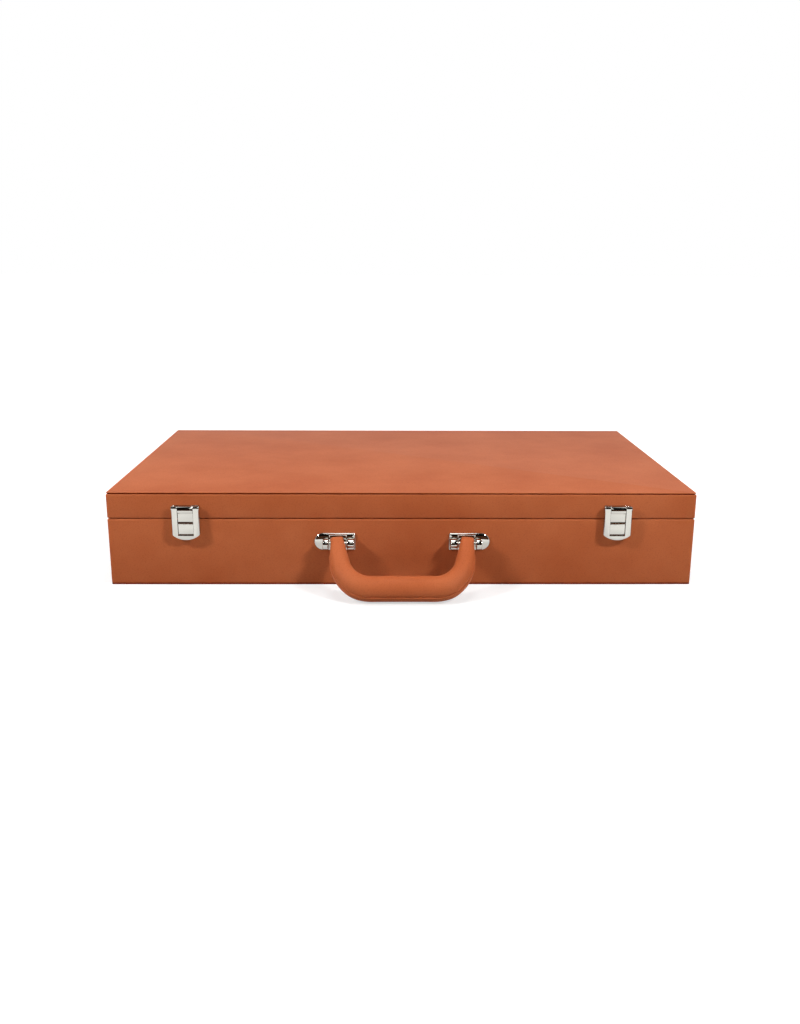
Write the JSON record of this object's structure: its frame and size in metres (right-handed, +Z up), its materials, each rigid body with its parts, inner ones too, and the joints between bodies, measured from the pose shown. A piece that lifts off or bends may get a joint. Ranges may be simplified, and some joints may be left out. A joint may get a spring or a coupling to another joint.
{
  "type": "mahjong set",
  "caption": "Mahjong set in a flat leathercloth attache case with snap latches and a padded carrying handle, holding tiles, racks, dice and counters in a foam insert.",
  "frame": {"origin": "centre of the case's underside, on the table", "axes": "+X along the long front towards the right latch, +Y from the front with the handle towards the hinges, +Z up"},
  "size_m": [0.56, 0.3924, 0.0913],
  "materials": {
    "leathercloth": "tan vinyl leathercloth, fine grain, satin",
    "fibreboard": "bare pressed fibreboard",
    "flocked_cloth": "black flocked lining cloth",
    "foam": "dense black closed-cell foam, flocked",
    "tray_plastic": "moulded black tray",
    "tile_melamine": "polished ivory melamine with a coloured back",
    "rack_plastic": "extruded acrylic rack, polished",
    "dice_plastic": "moulded, tumbled",
    "chip_plastic": "moulded counters",
    "steel": "nickel plated steel",
    "chromed_steel": "bright chrome plate on pressed steel"
  },
  "bodies": {
    "base": {"base_board": "fibreboard", "base_side_wrap": "leathercloth", "base_bottom_wrap": "leathercloth", "base_lining": "flocked_cloth", "foam_floors": "foam", "foam_long_ribs": "foam", "foam_cross_ribs": "foam", "tile_tray_1": "tray_plastic", "tile_tray_2": "tray_plastic", "tile_tray_3": "tray_plastic", "tile_tray_4": "tray_plastic", "tiles_1": "tile_melamine", "tiles_2": "tile_melamine", "tiles_3": "tile_melamine", "tiles_4": "tile_melamine", "rack_front_lower": "rack_plastic", "rack_front_upper": "rack_plastic", "rack_rear_lower": "rack_plastic", "rack_rear_upper": "rack_plastic", "dice": "dice_plastic", "wind_marker": "dice_plastic", "chips": "chip_plastic", "hinge_left_base_leaf": "steel", "hinge_right_base_leaf": "steel", "hinge_left_pin": "steel", "hinge_right_pin": "steel", "hinge_screws_base": "steel", "handle_bracket_left": "chromed_steel", "handle_bracket_right": "chromed_steel", "handle_pin_left": "steel", "handle_pin_right": "steel", "handle_bracket_screws": "steel", "latch_strike_left": "chromed_steel", "latch_strike_right": "chromed_steel", "latch_strike_rivets": "chromed_steel"},
    "lid": {"lid_board": "fibreboard", "lid_side_wrap": "leathercloth", "lid_top_wrap": "leathercloth", "lid_lining": "flocked_cloth", "lid_pad": "flocked_cloth", "hinge_left_lid_leaf": "steel", "hinge_right_lid_leaf": "steel", "hinge_screws_lid": "steel", "latch_plate_left": "chromed_steel", "latch_plate_right": "chromed_steel", "latch_pin_left": "chromed_steel", "latch_pin_right": "chromed_steel", "latch_plate_rivets": "chromed_steel"},
    "latch_left": {"latch_hasp_left": "chromed_steel"},
    "latch_right": {"latch_hasp_right": "chromed_steel"},
    "handle": {"handle_core": "steel", "handle_grip": "leathercloth", "handle_welt": "leathercloth"}
  },
  "joints": [
    {"name": "lid_hinge", "type": "hinge", "parent": "base", "child": "lid", "pos_m": [0, 0.1615, 0.0657], "axis": [-1, 0, 0], "range_deg": [0, 98]},
    {"name": "latch_left_hinge", "type": "hinge", "parent": "lid", "child": "latch_left", "pos_m": [-0.2048, -0.1703, 0.0769], "axis": [-1, 0, 0], "range_deg": [0, 170]},
    {"name": "latch_right_hinge", "type": "hinge", "parent": "lid", "child": "latch_right", "pos_m": [0.2048, -0.1703, 0.0769], "axis": [-1, 0, 0], "range_deg": [0, 170]},
    {"name": "handle_swing", "type": "hinge", "parent": "base", "child": "handle", "pos_m": [0, -0.1745, 0.043], "axis": [-1, 0, 0], "range_deg": [0, 84]}
  ]
}
